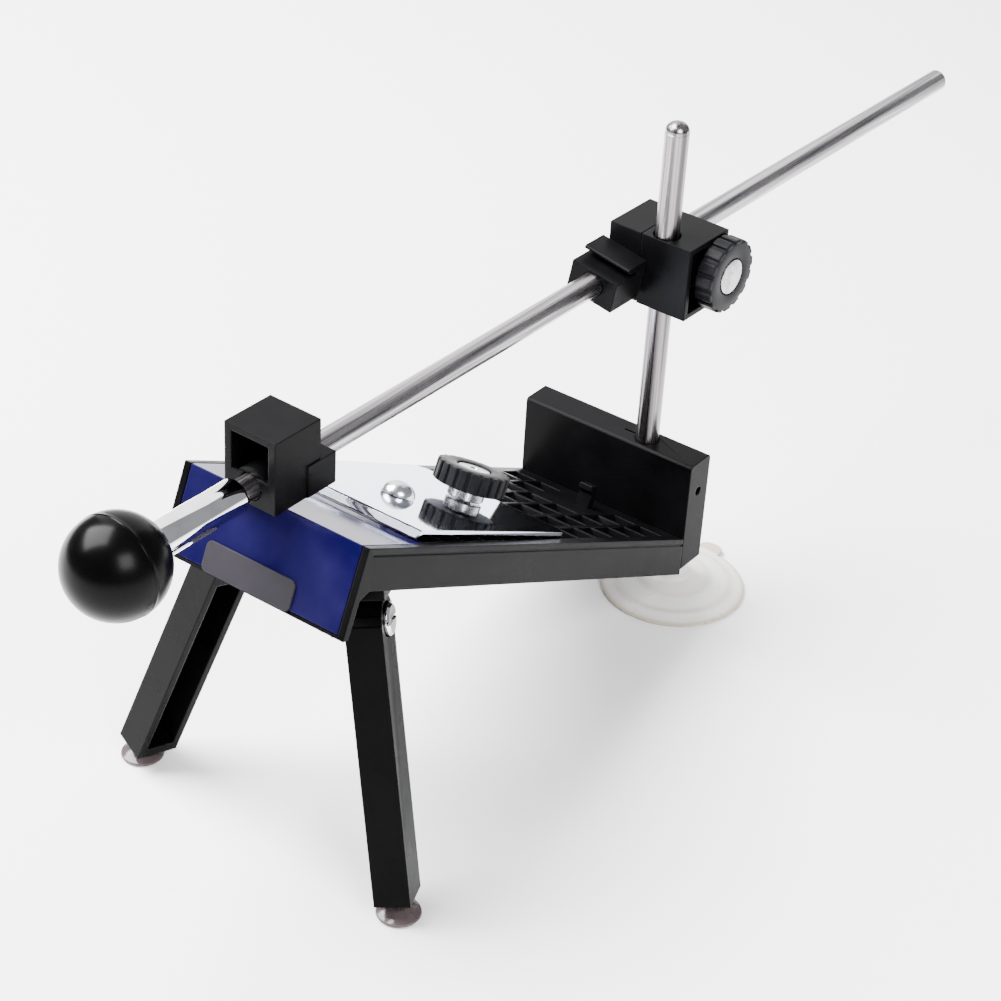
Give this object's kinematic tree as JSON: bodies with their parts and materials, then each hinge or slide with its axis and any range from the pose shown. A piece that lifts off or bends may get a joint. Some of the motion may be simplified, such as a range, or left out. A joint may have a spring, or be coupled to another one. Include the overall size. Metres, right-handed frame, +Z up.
{
  "type": "fixed-angle honing guide",
  "caption": "Sloping blade tray on folding legs and a suction cup, with a guide post, a sliding carriage and a long guide rod that carries the stone holders.",
  "frame": {"origin": "on the ground under the centre of the whole part's bounding box", "axes": "+Z up along the guide post, +Y from the ball handle towards the guide post, +X across the tray to the clamp knob's side"},
  "size_m": [0.1234, 0.4566, 0.1829],
  "materials": {
    "black_plastic": "moulded charcoal black plastic, slightly satin",
    "blue_enamel": "glossy royal blue cover",
    "grey_label": "flat warm grey blank label",
    "polished_plate": "mirror polished steel",
    "chrome_plate": "bright chrome plating",
    "bare_steel": "drawn bare steel with fine lengthwise lines",
    "gloss_black": "glossy moulded black with a faint parting line",
    "clear_rubber": "milky translucent soft plastic"
  },
  "bodies": {
    "base": {"tray": "black_plastic", "apron_cover": "blue_enamel", "apron_badge": "grey_label", "plate_bolt": "polished_plate", "plate_bolt_nut": "bare_steel", "blade_stop": "black_plastic", "post_block": "black_plastic", "post_screw": "bare_steel", "cup_bracket": "black_plastic", "bracket_screw": "bare_steel", "rear_cup": "clear_rubber", "cup_stud": "bare_steel", "cup_nut": "bare_steel", "right_leg_screw": "polished_plate", "right_leg_nut": "bare_steel", "left_leg_screw": "polished_plate", "left_leg_nut": "bare_steel"},
    "plate": {"clamp_plate": "polished_plate"},
    "plate_screw": {"plate_knob": "black_plastic", "plate_knob_stud": "bare_steel"},
    "leg_right": {"right_leg": "black_plastic", "right_foot_cup": "clear_rubber"},
    "leg_left": {"left_leg": "black_plastic", "left_foot_cup": "clear_rubber"},
    "post": {"guide_post": "bare_steel"},
    "carriage": {"carriage_block": "black_plastic", "clamp_shoe": "black_plastic"},
    "carriage_screw": {"clamp_knob": "black_plastic", "clamp_stud": "bare_steel"},
    "swivel": {"swivel_block": "black_plastic", "swivel_pin": "bare_steel"},
    "rod": {"guide_rod": "bare_steel", "chrome_sleeve": "chrome_plate", "ball_knob": "gloss_black", "front_holder": "black_plastic", "front_holder_screw": "bare_steel"},
    "rear_stone_holder": {"rear_holder": "black_plastic", "rear_holder_screw": "bare_steel"}
  },
  "joints": [
    {"name": "right_leg_fold", "type": "hinge", "parent": "base", "child": "leg_right", "pos_m": [0.029, -0.14488, 0.0885], "axis": [0.8667, 0.4652, 0.1797], "range_deg": [0, 70]},
    {"name": "left_leg_fold", "type": "hinge", "parent": "base", "child": "leg_left", "pos_m": [-0.0244, -0.14488, 0.0885], "axis": [0.9213, -0.2606, -0.2888], "range_deg": [0, 70]},
    {"name": "plate_knob_turn", "type": "hinge", "parent": "base", "child": "plate_screw", "pos_m": [0.0039, -0.06718, 0.07798], "axis": [0, 0.4478, 0.8942], "range_deg": [-350, 0]},
    {"name": "plate_rock", "type": "hinge", "parent": "base", "child": "plate", "pos_m": [0.0023, -0.0991, 0.09576], "axis": [1, 0, 0], "range_deg": [-0.4, 0]},
    {"name": "post_turn", "type": "hinge", "parent": "base", "child": "post", "pos_m": [0.0147, 0.02402, 0.027], "axis": [0, 0, 1], "range_deg": [-30, 30]},
    {"name": "carriage_slide", "type": "slide", "parent": "post", "child": "carriage", "axis": [0, 0, 1], "range_m": [0, 0.034]},
    {"name": "clamp_knob_turn", "type": "hinge", "parent": "carriage", "child": "carriage_screw", "pos_m": [0.01495, 0.03522, 0.1299], "axis": [0.9998, -0.0222, 0], "continuous": true},
    {"name": "swivel_pitch", "type": "hinge", "parent": "carriage", "child": "swivel", "pos_m": [0.00695, 0.0354, 0.1299], "axis": [0.9998, -0.0222, 0], "range_deg": [-13, 0]},
    {"name": "rod_slide", "type": "slide", "parent": "swivel", "child": "rod", "axis": [0.0222, 0.9998, 0], "range_m": [-0.12, 0]},
    {"name": "rear_holder_slide", "type": "slide", "parent": "rod", "child": "rear_stone_holder", "axis": [0.0222, 0.9998, 0], "range_m": [-0.09, 0]}
  ],
  "couplings": [
    {"joint": "plate_rock", "follows": "plate_knob_turn", "ratio": 0.00114}
  ]
}
